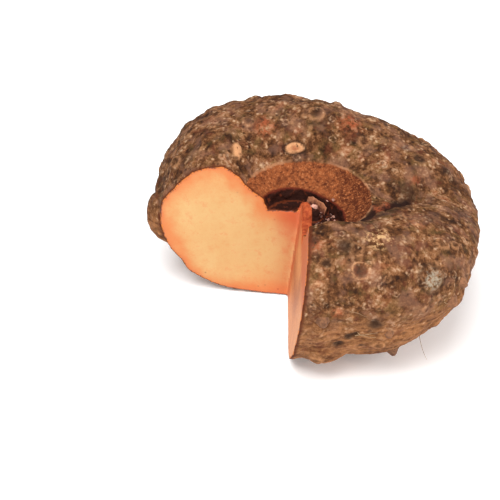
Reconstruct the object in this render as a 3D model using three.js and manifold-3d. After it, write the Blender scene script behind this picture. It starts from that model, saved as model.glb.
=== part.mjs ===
import * as THREE from 'three';
import Module from 'manifold-3d';

// A whole elephant foot yam with one quarter cut out of it. Sizes are in mm, angles in degrees.

// Outline seen from above: a mean radius with gentle swells round it.
const meanRadius = 127.8;
const radiusSwells = [
  { size: 14.5, lobes: 1, towards: 98 },
  { size: 8.9, lobes: 3, towards: -8 },
  { size: 8.9, lobes: 4, towards: 41 },
];

// Height of the shoulder's crest and of the widest line, round the body.
const meanCrest = 117.6;
const crestSwells = [
  { size: 8.6, lobes: 1, towards: 79 },
  { size: 11.1, lobes: 2, towards: 98.6 },
];
const crestBumps = [
  { size: -11, towards: 8, halfWidth: 12.6 },
  { size: 9.9, towards: 156.5, halfWidth: 26 },
];
const waistHeight = 73.1;
const waistTilt = { size: 6.2, lobes: 1, towards: -20 };

// Fullness of the side below and above the widest line (2 is an ellipse).
const lowerPower = 2 / 1.88;
const upperPower = 2 / 1.9;

const baseShare = 0.447; // base radius over outer radius
const crestShare = 0.558; // crest radius over outer radius

// The flat spot it rests on sits under its weight.
const seat = { x: 14, y: 30, radius: 26, fade: 42, rise: 2.5 };

// The crown: a ring scar on the inner slope, round a small hollow.
const ring = { radius: 47.5, height: 103.4, x: -3.2, y: 0.5 };
const hollow = {
  radius: 29,
  squash: 4.8,
  towards: 43,
  height: 92.4,
  x: -5.4,
  y: -0.8,
  floor: 82.9,
  wallRun: 3,
};
const innerBend = 1.9;
const lip = { height: 1.3, halfWidth: 2.4 };

// The crease that runs off the ring between two shoulders.
const crease = { depth: 5, halfWidth: 6, start: -25, turn: 1.1, fromRadius: 50, toRadius: 94 };

// Soft lumps pressed out of the skin, and the slow swell under them.
const lumpCount = 190;
const lumpRadius = { least: 9, most: 15 };
const lumpHeight = { least: 0.5, most: 1.9 };
const swellHeight = 0.6;
const settle = -0.8; // so that the lumps' tips, not their feet, meet the outline
const swellLength = 46;

// Two knife cuts: the azimuth each runs towards, its lean and its offset at a height of 60.
const leftCut = { azimuth: 173.5, lean: 0.039, offset: -13.6 };
const rightCut = { azimuth: -91.3, lean: 0.107, offset: -8.8 };
const cutMiddle = 60;
const cutReach = 260;

// Fused pieces.
const lobe = { azimuth: 160, radius: 114, height: 62, out: 18, along: 13, up: 24, rows: 8, sides: 16 };
const bud = { x: -1, y: 8, length: 11, width: 8, height: 10, azimuth: -49, sides: 16 };
const knobCount = 60;
const knobSides = 7;
const stubCount = 12;

// Fineness of the body: columns round it, and rows in each stretch of the skin.
const columns = 108;
const rowsPerStretch = [3, 12, 12, 8, 2, 1, 1];

// No stretch of the skin is larger than this for a unit of angle and of place.
const fullShare = 13000;

const turn = Math.PI / 180;
const wave = (angle, swell) => swell.size * Math.cos(swell.lobes * (angle - swell.towards * turn));
const clamp = (value) => Math.min(1, Math.max(0, value));

let seed = 41;
function random() {
  seed = (1664525 * seed + 1013904223) % 4294967296;
  return seed / 4294967296;
}

function outline(angle) {
  let radius = meanRadius;
  for (const swell of radiusSwells) radius += wave(angle, swell);
  let crest = meanCrest;
  for (const swell of crestSwells) crest += wave(angle, swell);
  for (const bump of crestBumps) {
    const apart = angle - bump.towards * turn;
    const away = Math.atan2(Math.sin(apart), Math.cos(apart));
    crest += bump.size * Math.exp(-((away / (bump.halfWidth * turn)) ** 2));
  }
  return { radius, crest, waist: waistHeight + wave(angle, waistTilt) };
}

// The hollow is an oval, narrowest towards one azimuth.
function hollowRadius(angle) {
  return hollow.radius - wave(angle, { size: hollow.squash, lobes: 2, towards: hollow.towards });
}

// A point on the skin. Place runs 0 to 7: base, lower side, upper side, inner slope,
// ring, wall of the hollow, floor of the hollow.
function skinPoint(angle, place) {
  const shape = outline(angle);
  const stretch = Math.min(6, Math.floor(place));
  const along = place - stretch;
  const rise = Math.sin((along * Math.PI) / 2);
  const fall = Math.max(0, Math.cos((along * Math.PI) / 2));
  const base = baseShare * shape.radius;
  const crestRadius = crestShare * shape.radius;
  const hollowEdge = hollowRadius(angle);
  let r = 0;
  let z = 0;
  let shiftX = stretch > 4 ? hollow.x : 0;
  let shiftY = stretch > 4 ? hollow.y : 0;
  if (stretch === 0) {
    r = base * along;
  } else if (stretch === 1) {
    r = base + (shape.radius - base) * rise ** lowerPower;
    z = shape.waist * (1 - fall ** lowerPower);
  } else if (stretch === 2) {
    r = crestRadius + (shape.radius - crestRadius) * fall ** upperPower;
    z = shape.waist + (shape.crest - shape.waist) * rise ** upperPower;
  } else if (stretch === 3) {
    r = crestRadius + (ring.radius - crestRadius) * along;
    z = shape.crest - (shape.crest - ring.height) * along ** innerBend;
    z += lip.height * Math.exp(-(((r - ring.radius) / lip.halfWidth) ** 2));
    shiftX = ring.x * along;
    shiftY = ring.y * along;
  } else if (stretch === 4) {
    r = ring.radius + (hollowEdge - ring.radius) * along;
    z = ring.height + (hollow.height - ring.height) * along;
    z += lip.height * Math.exp(-(((r - ring.radius) / lip.halfWidth) ** 2));
    shiftX = ring.x + (hollow.x - ring.x) * along;
    shiftY = ring.y + (hollow.y - ring.y) * along;
  } else if (stretch === 5) {
    r = hollowEdge - hollow.wallRun * along;
    z = hollow.height + (hollow.floor - hollow.height) * along;
  } else {
    r = (hollowEdge - hollow.wallRun) * (1 - along);
    z = hollow.floor;
  }
  const point = new THREE.Vector3(r * Math.cos(angle) + shiftX, r * Math.sin(angle) + shiftY, z);
  if (stretch < 2) {
    const out = clamp((Math.hypot(point.x - seat.x, point.y - seat.y) - seat.radius) / seat.fade);
    point.z += seat.rise * out * out * clamp(1 - z / shape.waist);
  }
  if (stretch === 2 || stretch === 3) {
    // The crease, fading in and out along its run.
    const middle = (crease.start + crease.turn * (r - crease.fromRadius)) * turn;
    const aside = (r * Math.sin(angle - middle)) / crease.halfWidth;
    const run = clamp((crease.toRadius - r) / 20) * clamp((r - ring.radius) / 6);
    if (Math.cos(angle - middle) > 0) point.z -= crease.depth * run * Math.exp(-(aside ** 2));
  }
  return point;
}

// Points out of the skin; its length is the skin that a unit of angle and of place covers.
function skinCross(angle, place) {
  const step = 0.01;
  const round = skinPoint(angle + step, place).sub(skinPoint(angle - step, place));
  const up = skinPoint(angle, place + step).sub(skinPoint(angle, place - step));
  return round.cross(up).divideScalar(4 * step * step);
}

const skinNormal = (angle, place) => skinCross(angle, place).normalize();

// A random spot on the skin, evenly spread between two places.
function randomSpot(lowest, highest) {
  for (;;) {
    const angle = 2 * Math.PI * random();
    const place = lowest + (highest - lowest) * random();
    if (random() * fullShare < skinCross(angle, place).length()) return { angle, place };
  }
}

function seedLumps() {
  const lumps = [];
  for (let index = 0; index < lumpCount; index += 1) {
    const spot = randomSpot(1.45, 3.6);
    lumps.push({
      centre: skinPoint(spot.angle, spot.place),
      radius: lumpRadius.least + (lumpRadius.most - lumpRadius.least) * random(),
      height: lumpHeight.least + (lumpHeight.most - lumpHeight.least) * random(),
    });
  }
  return lumps;
}

const lumps = seedLumps();

// The body's own surface: swell and lumps, fading out towards the flat spot and the crown.
function bodyPoint(angle, place) {
  const point = skinPoint(angle, place);
  if (place <= 1.1 || place >= 3.8) return point;
  const fade = clamp((place - 1.1) / 0.3) * clamp((3.8 - place) / 0.2);
  const pitch = (2 * Math.PI) / swellLength;
  let out =
    settle +
    swellHeight *
    (Math.sin(point.x * pitch + 1.3 * Math.sin(point.z * pitch)) +
      Math.sin(point.y * pitch * 1.15 + 0.7) * Math.cos(point.z * pitch * 1.3 + point.x * pitch * 0.4));
  for (const lump of lumps) {
    const near = point.distanceToSquared(lump.centre) / (lump.radius * lump.radius);
    if (near < 1) out += lump.height * (1 - near) ** 2;
  }
  return point.addScaledVector(skinNormal(angle, place), fade * out);
}

const wasm = await Module();
wasm.setup();

function solid(points, faces) {
  const mesh = new wasm.Mesh({
    numProp: 3,
    vertProperties: new Float32Array(points.flatMap((p) => [p.x, p.y, p.z])),
    triVerts: new Uint32Array(faces.flat()),
  });
  return new wasm.Manifold(mesh);
}

// Rings of points closed by a bottom and a top point. Rings run upwards and turn anticlockwise.
function ringSolid(bottom, rings, top) {
  const points = [bottom, ...rings.flat(), top];
  const count = rings[0].length;
  const last = points.length - 1;
  const at = (row, column) => 1 + row * count + (column % count);
  const faces = [];
  for (let column = 0; column < count; column += 1) {
    faces.push([0, at(0, column + 1), at(0, column)]);
    for (let row = 0; row + 1 < rings.length; row += 1) {
      faces.push([at(row, column), at(row, column + 1), at(row + 1, column + 1)]);
      faces.push([at(row, column), at(row + 1, column + 1), at(row + 1, column)]);
    }
    faces.push([at(rings.length - 1, column), at(rings.length - 1, column + 1), last]);
  }
  return solid(points, faces);
}

function buildBody() {
  const rings = [];
  rowsPerStretch.forEach((rows, stretch) => {
    const first = stretch === 0 ? 1 : 0;
    for (let row = first; row < rows; row += 1) {
      const place = stretch + row / rows;
      const points = [];
      for (let column = 0; column < columns; column += 1) {
        points.push(bodyPoint((column * 2 * Math.PI) / columns, place));
      }
      rings.push(points);
    }
  });
  return ringSolid(skinPoint(0, 0), rings, skinPoint(0, 7));
}

// A surface frame: a function that turns (aside, along, out) offsets into a point.
function frameAt(origin, normal) {
  const reference = Math.abs(normal.z) > 0.9 ? new THREE.Vector3(1, 0, 0) : new THREE.Vector3(0, 0, 1);
  const aside = new THREE.Vector3().crossVectors(reference, normal).normalize();
  const along = new THREE.Vector3().crossVectors(normal, aside);
  return (a, b, c) =>
    origin.clone().addScaledVector(aside, a).addScaledVector(along, b).addScaledVector(normal, c);
}

function lathe(place, sides, profile, stretch, spin) {
  const rings = profile.slice(1, -1).map(([radius, out]) => {
    const points = [];
    for (let side = 0; side < sides; side += 1) {
      const angle = spin + (side * 2 * Math.PI) / sides;
      points.push(place(radius * Math.cos(angle), radius * stretch * Math.sin(angle), out));
    }
    return points;
  });
  return ringSolid(place(0, 0, profile[0][1]), rings, place(0, 0, profile[profile.length - 1][1]));
}

// A low dome with its root sunk in the skin; dimpled ones are old root scars.
function knob(origin, normal, radius, height, dimpled, spin) {
  const profile = [
    [0, -6],
    [radius * 0.9, -4],
    [radius, 0],
    [radius * 0.6, height * 0.92],
    [0, dimpled ? height * 0.45 : height * 1.15],
  ];
  return lathe(frameAt(origin, normal), knobSides, profile, 1, spin);
}

function stub(origin, normal, radius, length, spin) {
  const profile = [
    [0, -3],
    [radius * 1.2, -2.8],
    [radius * 0.8, length * 0.6],
    [0, length],
  ];
  return lathe(frameAt(origin, normal), 5, profile, 1, spin);
}

// How far a point is inside the part that each cut keeps.
function cutDistance(cut, point) {
  const angle = (cut.azimuth + 90) * turn;
  const across = point.x * Math.cos(angle) + point.y * Math.sin(angle);
  return across - cut.lean * (point.z - cutMiddle) - cut.offset;
}

function nearCut(point, margin) {
  return cutDistance(leftCut, point) > -margin && cutDistance(rightCut, point) < margin;
}

// The corner line where the two cuts meet, at a given height.
function cutCorner(z) {
  const a = (leftCut.azimuth + 90) * turn;
  const b = (rightCut.azimuth + 90) * turn;
  const left = leftCut.lean * (z - cutMiddle) + leftCut.offset;
  const right = rightCut.lean * (z - cutMiddle) + rightCut.offset;
  const spread = Math.cos(a) * Math.sin(b) - Math.sin(a) * Math.cos(b);
  return new THREE.Vector3(
    (left * Math.sin(b) - right * Math.sin(a)) / spread,
    (right * Math.cos(a) - left * Math.cos(b)) / spread,
    z,
  );
}

function buildNotch() {
  const rings = [-20, 170].map((z) => {
    const corner = cutCorner(z);
    const reach = (azimuth) =>
      corner.clone().add(
        new THREE.Vector3(Math.cos(azimuth * turn), Math.sin(azimuth * turn), 0).multiplyScalar(cutReach),
      );
    return [corner, reach(leftCut.azimuth), reach(360 + rightCut.azimuth)];
  });
  const faces = [
    [0, 2, 1],
    [3, 4, 5],
  ];
  for (let side = 0; side < 3; side += 1) {
    const next = (side + 1) % 3;
    faces.push([side, next, next + 3], [side, next + 3, side + 3]);
  }
  return solid(rings.flat(), faces);
}

// Chosen knobs first (azimuth, place, radius, height, dimpled), then a seeded spread.
const chosenKnobs = [
  { azimuth: 84.5, place: 3.19, radius: 8, height: 2.6, dimpled: true },
  { azimuth: 98.5, place: 3.82, radius: 7.5, height: 2.4, dimpled: false },
  { azimuth: 145, place: 3.5, radius: 6.5, height: 2, dimpled: false },
  { azimuth: -46, place: 2.26, radius: 9, height: 2.4, dimpled: false },
  { azimuth: -71, place: 2.44, radius: 7, height: 2.2, dimpled: true },
  { azimuth: -85, place: 2.52, radius: 5, height: 1.8, dimpled: true },
  { azimuth: 27, place: 2.8, radius: 7, height: 2.2, dimpled: true },
  { azimuth: 21, place: 2.58, radius: 7.5, height: 2.4, dimpled: false },
  { azimuth: -67, place: 1.89, radius: 6.5, height: 1.6, dimpled: true },
  { azimuth: 117, place: 3.45, radius: 7, height: 2.2, dimpled: false },
  { azimuth: 63.5, place: 3.04, radius: 7, height: 2.4, dimpled: false },
];

const placed = [];
const clearOf = (origin, radius) =>
  placed.every((other) => other.origin.distanceTo(origin) >= other.radius + radius);

function buildKnobs() {
  const knobs = [];
  const tryKnob = (item) => {
    const angle = item.azimuth * turn;
    const origin = bodyPoint(angle, item.place);
    if (nearCut(origin, item.radius + 2.5)) return;
    if (!clearOf(origin, item.radius)) return;
    placed.push({ origin, radius: item.radius });
    const normal = skinNormal(angle, item.place);
    knobs.push(knob(origin, normal, item.radius, item.height, item.dimpled, item.spin ?? 0));
  };
  chosenKnobs.forEach(tryKnob);
  for (let tries = 0; tries < 2000 && knobs.length < knobCount; tries += 1) {
    const spot = randomSpot(1.45, 3.7);
    tryKnob({
      azimuth: spot.angle / turn,
      place: spot.place,
      radius: 4 + 3 * random(),
      height: 1.4 + 1.2 * random(),
      dimpled: random() < 0.5,
      spin: 6 * random(),
    });
  }
  return knobs;
}

// Chosen root stubs first, then a seeded spread on the lower side.
const chosenStubs = [
  { azimuth: -51.2, place: 1.44 },
  { azimuth: -32.5, place: 1.98 },
  { azimuth: -38.2, place: 1.89 },
];
const chosenStub = { radius: 2.4, length: 5 };

function buildStubs() {
  const stubs = chosenStubs.map((item) => {
    const angle = item.azimuth * turn;
    const origin = bodyPoint(angle, item.place);
    return stub(origin, skinNormal(angle, item.place), chosenStub.radius, chosenStub.length, 0);
  });
  for (let tries = 0; tries < 200 && stubs.length < stubCount; tries += 1) {
    const angle = 360 * turn * random();
    const place = 1.4 + 0.7 * random();
    const origin = bodyPoint(angle, place);
    const size = 1.7 + random();
    if (nearCut(origin, 6) || !clearOf(origin, 3)) continue;
    stubs.push(stub(origin, skinNormal(angle, place), size, 2 * size, 6 * random()));
  }
  return stubs;
}

const lobeAngle = lobe.azimuth * turn;
const lobeCentre = new THREE.Vector3(
  lobe.radius * Math.cos(lobeAngle),
  lobe.radius * Math.sin(lobeAngle),
  lobe.height,
);

function buildLobe() {
  const out = new THREE.Vector3(Math.cos(lobeAngle), Math.sin(lobeAngle), 0);
  const along = new THREE.Vector3(-Math.sin(lobeAngle), Math.cos(lobeAngle), 0);
  const rings = [];
  for (let row = 1; row < lobe.rows; row += 1) {
    const tilt = (row * Math.PI) / lobe.rows - Math.PI / 2;
    const points = [];
    for (let side = 0; side < lobe.sides; side += 1) {
      const spin = (side * 2 * Math.PI) / lobe.sides;
      points.push(
        lobeCentre
          .clone()
          .addScaledVector(out, lobe.out * Math.cos(tilt) * Math.cos(spin))
          .addScaledVector(along, lobe.along * Math.cos(tilt) * Math.sin(spin))
          .add(new THREE.Vector3(0, 0, lobe.up * Math.sin(tilt))),
      );
    }
    rings.push(points);
  }
  const below = lobeCentre.clone().add(new THREE.Vector3(0, 0, -lobe.up));
  const above = lobeCentre.clone().add(new THREE.Vector3(0, 0, lobe.up));
  return ringSolid(below, rings, above);
}

// The old bud: a raised plug at the back of the hollow, which the cuts pass through.
function buildBud() {
  const along = new THREE.Vector3(Math.cos(bud.azimuth * turn), Math.sin(bud.azimuth * turn), 0);
  const aside = new THREE.Vector3(-along.y, along.x, 0);
  const place = (a, b, out) =>
    new THREE.Vector3(bud.x, bud.y, hollow.floor + out).addScaledVector(along, a).addScaledVector(aside, b);
  const profile = [
    [0, -3],
    [bud.length, -2.5],
    [bud.length * 0.9, bud.height * 0.45],
    [bud.length * 0.6, bud.height * 0.9],
    [0, bud.height],
  ];
  return lathe(place, bud.sides, profile, bud.width / bud.length, 0);
}

placed.push({ origin: lobeCentre, radius: lobe.up });
let corm = buildBody().add(buildLobe()).add(buildBud()).subtract(buildNotch());
for (const piece of [...buildKnobs(), ...buildStubs()]) corm = corm.add(piece);

const mesh = corm.getMesh();
const geometry = new THREE.BufferGeometry();
geometry.setAttribute('position', new THREE.BufferAttribute(new Float32Array(mesh.vertProperties), 3));
geometry.setIndex(new THREE.BufferAttribute(new Uint32Array(mesh.triVerts), 1));

// Stand it on the ground plane with the box's middle over the origin.
geometry.computeBoundingBox();
const box = geometry.boundingBox;
geometry.translate(-(box.min.x + box.max.x) / 2, -(box.min.y + box.max.y) / 2, -box.min.z);
geometry.computeVertexNormals();

const skin = new THREE.MeshStandardMaterial({ color: 0x7a5a42, roughness: 0.9 });
const cormMesh = new THREE.Mesh(geometry, skin);
cormMesh.name = 'corm';

const part = new THREE.Group();
part.name = 'elephant_foot_yam';
part.add(cormMesh);

export default part;
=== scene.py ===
import math

import bmesh
import bpy
import numpy as np
from mathutils import Matrix, Vector, noise
from mathutils.bvhtree import BVHTree


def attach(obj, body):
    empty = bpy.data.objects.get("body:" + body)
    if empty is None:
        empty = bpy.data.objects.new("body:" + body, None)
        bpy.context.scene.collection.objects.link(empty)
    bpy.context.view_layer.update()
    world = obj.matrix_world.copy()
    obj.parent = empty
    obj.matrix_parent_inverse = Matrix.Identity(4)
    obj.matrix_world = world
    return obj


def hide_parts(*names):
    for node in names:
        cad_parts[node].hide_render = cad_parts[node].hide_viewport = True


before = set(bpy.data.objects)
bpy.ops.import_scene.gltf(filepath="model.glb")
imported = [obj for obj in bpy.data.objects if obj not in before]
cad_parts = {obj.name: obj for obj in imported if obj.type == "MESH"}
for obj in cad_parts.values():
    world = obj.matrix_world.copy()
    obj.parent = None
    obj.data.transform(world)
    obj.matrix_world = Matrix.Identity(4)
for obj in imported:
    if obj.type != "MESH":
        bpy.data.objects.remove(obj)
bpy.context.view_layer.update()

# Every size below is in mm and every angle in degrees, about the axis of the corm.
# rowMiddle is where the row's origin lies on those axes.
rowMiddle = {"x": 1.13, "y": 19.52}


def toRow(point):
    moved = np.asarray(point, float) - np.array([rowMiddle["x"], rowMiddle["y"], 0])
    return moved / 1000


def towards(azimuth):
    return Vector((math.cos(math.radians(azimuth)), math.sin(math.radians(azimuth)), 0))


def clamp(value, low=0.0, high=1.0):
    return np.minimum(high, np.maximum(low, value))


def smooth(value, low, high):  # 0 at low, 1 at high, eased at both ends
    share = clamp((value - low) / (high - low))
    return share * share * (3 - 2 * share)


def hump(value, middle, halfWidth):
    return np.exp(-(((value - middle) / halfWidth) ** 2))


class Draws:  # the same seeded draws as the solid's own source
    def __init__(self, seed):
        self.value = seed

    def next(self):
        self.value = (1664525 * self.value + 1013904223) % 4294967296
        return self.value / 4294967296

    def between(self, low, high):
        return low + (high - low) * self.next()


bodySettings = {
    "meanRadius": 127.8,
    "radiusSwells": [(14.5, 1, 98), (8.9, 3, -8), (8.9, 4, 41)],  # size, lobes, towards
    "meanCrest": 117.6,
    "crestSwells": [(8.6, 1, 79), (11.1, 2, 98.6)],
    "crestBumps": [(-11, 8, 12.6), (9.9, 156.5, 26)],  # size, towards, half width
    "waistHeight": 73.1,
    "waistTilt": (6.2, 1, -20),
    "lowerPower": 2 / 1.88,
    "upperPower": 2 / 1.9,
    "baseShare": 0.447,
    "crestShare": 0.558,
    "innerBend": 1.9,
    "columns": 330,
    "rowsPerStretch": [12, 44, 44, 34, 14, 8, 12],
    "voxel": 1.43,
}
seat = {"x": 14, "y": 30, "radius": 26, "fade": 42, "rise": 2.5}
ring = {"radius": 47.5, "height": 103.4, "x": -3.2, "y": 0.5}
hollow = {
    "radius": 29,
    "squash": 4.8,
    "towards": 43,
    "height": 92.4,
    "x": -5.4,
    "y": -0.8,
    "floor": 82.9,
    "wallRun": 3,
}
lip = {"height": 1.3, "halfWidth": 2.4}
crease = {
    "depth": 5,
    "halfWidth": 6,
    "start": -25,
    "turn": 1.1,  # degrees for each mm outwards
    "fromRadius": 50,
    "toRadius": 94,
    "fadeIn": 6,
    "fadeOut": 20,
}
lumpSettings = {
    "count": 190,
    "places": (1.45, 3.6),
    "radius": (9, 15),
    "height": (0.5, 1.9),
    "swell": 0.6,
    "settle": -0.8,
    "swellLength": 46,
    "fadeIn": (1.1, 0.3),  # from this place, over this length
    "fadeOut": (3.8, 0.2),  # up to this place, over this length
    "fullShare": 13000,
}
leftCut = {"azimuth": 173.5, "lean": 0.039, "offset": -13.6}
rightCut = {"azimuth": -91.3, "lean": 0.107, "offset": -8.8}
cutSettings = {
    "middle": 60,
    "reach": 260,
    "bottom": -20,
    "top": 170,
    "waviness": 0.35,
    "waveLength": 38,
    "waveFade": (1, 12),
    "faceReach": 0.7,  # how near a cut a point is taken to lie on its face
    "pastCorner": 1,
}
lobe = {"azimuth": 160, "radius": 114, "height": 62, "out": 18, "along": 13, "up": 24}
bud = {"x": -1, "y": 8, "length": 11, "width": 8, "height": 10, "sunk": 0.4, "azimuth": -49}


def wave(angle, swell):
    size, lobes, heading = swell
    return size * np.cos(lobes * (angle - math.radians(heading)))


def outline(angle):  # radius, crest height and waist height in each direction
    shape = bodySettings
    radius = shape["meanRadius"] + sum(wave(angle, swell) for swell in shape["radiusSwells"])
    crest = shape["meanCrest"] + sum(wave(angle, swell) for swell in shape["crestSwells"])
    for size, heading, halfWidth in shape["crestBumps"]:
        away = angle - math.radians(heading)
        away = np.arctan2(np.sin(away), np.cos(away))
        crest = crest + size * hump(away, 0, math.radians(halfWidth))
    return radius, crest, shape["waistHeight"] + wave(angle, shape["waistTilt"])


def hollowRadius(angle):
    return hollow["radius"] - wave(angle, (hollow["squash"], 2, hollow["towards"]))


def profile(angle, stretch, along):  # distance from the axis, height, and height of the waist
    shape = bodySettings
    radius, crest, waist = outline(angle)
    rise = np.maximum(0, np.sin(along * math.pi / 2))
    fall = np.maximum(0, np.cos(along * math.pi / 2))
    base, top = shape["baseShare"] * radius, shape["crestShare"] * radius
    lower, upper = shape["lowerPower"], shape["upperPower"]
    edge = hollowRadius(angle)
    r = np.choose(stretch, [
        base * along,
        base + (radius - base) * rise**lower,
        top + (radius - top) * fall**upper,
        top + (ring["radius"] - top) * along,
        ring["radius"] + (edge - ring["radius"]) * along,
        edge - hollow["wallRun"] * along,
        (edge - hollow["wallRun"]) * (1 - along),
    ])
    rim = lip["height"] * hump(r, ring["radius"], lip["halfWidth"])
    z = np.choose(stretch, [
        0 * along,
        waist * (1 - fall**lower),
        waist + (crest - waist) * rise**upper,
        crest - (crest - ring["height"]) * np.abs(along) ** shape["innerBend"] + rim,
        ring["height"] + (hollow["height"] - ring["height"]) * along + rim,
        hollow["height"] + (hollow["floor"] - hollow["height"]) * along,
        hollow["floor"] + 0 * along,
    ])
    return r, z, waist


def middleShift(axis, stretch, along):  # how far the ring and the hollow lie off the axis
    none = 0 * along
    return np.choose(stretch, [
        none,
        none,
        none,
        ring[axis] * along,
        ring[axis] + (hollow[axis] - ring[axis]) * along,
        hollow[axis] + none,
        hollow[axis] + none,
    ])


def creaseDepth(angle, r, stretch):
    middle = np.radians(crease["start"] + crease["turn"] * (r - crease["fromRadius"]))
    aside = r * np.sin(angle - middle) / crease["halfWidth"]
    run = clamp((crease["toRadius"] - r) / crease["fadeOut"])
    run = run * clamp((r - ring["radius"]) / crease["fadeIn"])
    creased = ((stretch == 2) | (stretch == 3)) & (np.cos(angle - middle) > 0)
    return np.where(creased, crease["depth"] * run * np.exp(-(aside**2)), 0)


def skinPoint(angle, place):  # place 0 to 7: base, two sides, inner slope, ring, wall, floor
    angle, place = np.broadcast_arrays(np.asarray(angle, float), np.asarray(place, float))
    stretch = clamp(np.floor(place), 0, 6).astype(int)
    along = place - stretch
    r, z, waist = profile(angle, stretch, along)
    x = r * np.cos(angle) + middleShift("x", stretch, along)
    y = r * np.sin(angle) + middleShift("y", stretch, along)
    out = clamp((np.hypot(x - seat["x"], y - seat["y"]) - seat["radius"]) / seat["fade"])
    lifted = seat["rise"] * out**2 * clamp(1 - z / waist)
    z = z + np.where(stretch < 2, lifted, 0)
    z = z - creaseDepth(angle, r, stretch)
    return np.stack([x, y, z], axis=-1)


def skinCross(angle, place):
    step = 0.01
    around = skinPoint(angle + step, place) - skinPoint(angle - step, place)
    up = skinPoint(angle, place + step) - skinPoint(angle, place - step)
    return np.cross(around, up), step


def skinNormal(angle, place):
    cross, _ = skinCross(angle, place)
    return cross / np.maximum(1e-9, np.linalg.norm(cross, axis=-1, keepdims=True))


def randomSpot(lowest, highest):  # evenly spread over the skin
    while True:
        angle = 2 * math.pi * draws.next()
        place = draws.between(lowest, highest)
        cross, step = skinCross(angle, place)
        if draws.next() * lumpSettings["fullShare"] < np.linalg.norm(cross) / (4 * step * step):
            return angle, place


seed = 41
draws = Draws(seed)
noise.seed_set(seed)  # without it noise_vector would differ from run to run
lumps = []
for _ in range(lumpSettings["count"]):
    middle = skinPoint(*randomSpot(*lumpSettings["places"]))
    radius = draws.between(*lumpSettings["radius"])
    lumps.append((middle, radius, draws.between(*lumpSettings["height"])))
print("lumps placed", len(lumps))


def bodyPoint(angle, place):  # the skin with its slow swells and broad lumps
    point = skinPoint(angle, place)
    angle, place = np.broadcast_arrays(np.asarray(angle, float), np.asarray(place, float))
    first, inLength = lumpSettings["fadeIn"]
    last, outLength = lumpSettings["fadeOut"]
    fade = clamp((place - first) / inLength) * clamp((last - place) / outLength)
    x, y, z = point[..., 0], point[..., 1], point[..., 2]
    pitch = 2 * math.pi / lumpSettings["swellLength"]
    slow = np.sin(x * pitch + 1.3 * np.sin(z * pitch))
    slow = slow + np.sin(y * pitch * 1.15 + 0.7) * np.cos(z * pitch * 1.3 + x * pitch * 0.4)
    out = lumpSettings["settle"] + lumpSettings["swell"] * slow
    for centre, radius, height in lumps:
        near = ((point - centre) ** 2).sum(axis=-1) / radius**2
        out = out + height * clamp(1 - near) ** 2
    return point + skinNormal(angle, place) * (fade * out)[..., None]


def cutDistance(cut, point):  # above 0 on the side of the normal
    angle = math.radians(cut["azimuth"] + 90)
    point = np.asarray(point, float)
    across = point[..., 0] * math.cos(angle) + point[..., 1] * math.sin(angle)
    return across - cut["lean"] * (point[..., 2] - cutSettings["middle"]) - cut["offset"]


def cutNormal(cut):
    angle = math.radians(cut["azimuth"] + 90)
    normal = np.array([math.cos(angle), math.sin(angle), -cut["lean"]])
    return normal / np.linalg.norm(normal)


def nearCut(point, margin):
    return cutDistance(leftCut, point) > -margin and cutDistance(rightCut, point) < margin


def cutCorner(z):  # where the two cuts meet at this height
    a, b = math.radians(leftCut["azimuth"] + 90), math.radians(rightCut["azimuth"] + 90)
    left = leftCut["lean"] * (z - cutSettings["middle"]) + leftCut["offset"]
    right = rightCut["lean"] * (z - cutSettings["middle"]) + rightCut["offset"]
    spread = math.cos(a) * math.sin(b) - math.sin(a) * math.cos(b)
    x = (left * math.sin(b) - right * math.sin(a)) / spread
    y = (right * math.cos(a) - left * math.cos(b)) / spread
    return Vector((x, y, z))


knobSettings = {
    "chosen": [  # azimuth, place, radius, height, look
        (84.5, 3.19, 8, 2.6, "eye"),
        (98.5, 3.82, 7.5, 2.4, "button"),
        (145, 3.5, 6.5, 2, "cream"),
        (-46, 2.26, 9, 2.4, "chalky"),
        (-71, 2.44, 7, 2.2, "ringEye"),
        (-85, 2.52, 5, 1.8, "pit"),
        (27, 2.8, 7, 2.2, "pit"),
        (21, 2.58, 7.5, 2.4, "plain"),
        (-67, 1.89, 6.5, 1.6, "pit"),
        (117, 3.45, 7, 2.2, "plain"),
        (63.5, 3.04, 7, 2.4, "plain"),
    ],
    "count": 60,
    "tries": 2000,
    "places": (1.45, 3.7),
    "radius": (4, 7),
    "height": (1.4, 2.6),
    "eyeShare": 0.5,
    "cutMargin": 2.5,
}
stubSettings = {
    "chosen": [(-51.2, 1.44), (-32.5, 1.98), (-38.2, 1.89)],
    "chosenSize": (2.4, 5),  # radius, length
    "count": 12,
    "tries": 200,
    "places": (1.4, 0.7),  # lowest, and the span above it
    "leastRadius": 1.7,
    "cutMargin": 6,
    "knobMargin": 3,
}
scarSettings = {
    "count": 240,
    "places": (1.5, 3.75),
    "radius": (1.6, 3.6),
    "height": (0.3, 0.8),
    "looks": ("eye", "pit", "dot", "dot"),
}
lobeCentre = np.array([
    lobe["radius"] * math.cos(math.radians(lobe["azimuth"])),
    lobe["radius"] * math.sin(math.radians(lobe["azimuth"])),
    lobe["height"],
])
placed = [(lobeCentre, lobe["up"])]  # what the knobs keep clear of
knobs = []
stubs = []


def clearOf(origin, radius):
    return all(np.linalg.norm(other - origin) >= reach + radius for other, reach in placed)


def tryKnob(angle, place, radius, height, look):
    origin = bodyPoint(angle, place)
    if nearCut(origin, radius + knobSettings["cutMargin"]) or not clearOf(origin, radius):
        return
    placed.append((origin, radius))
    knobs.append({"origin": origin, "radius": radius, "height": height, "look": look})


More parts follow.
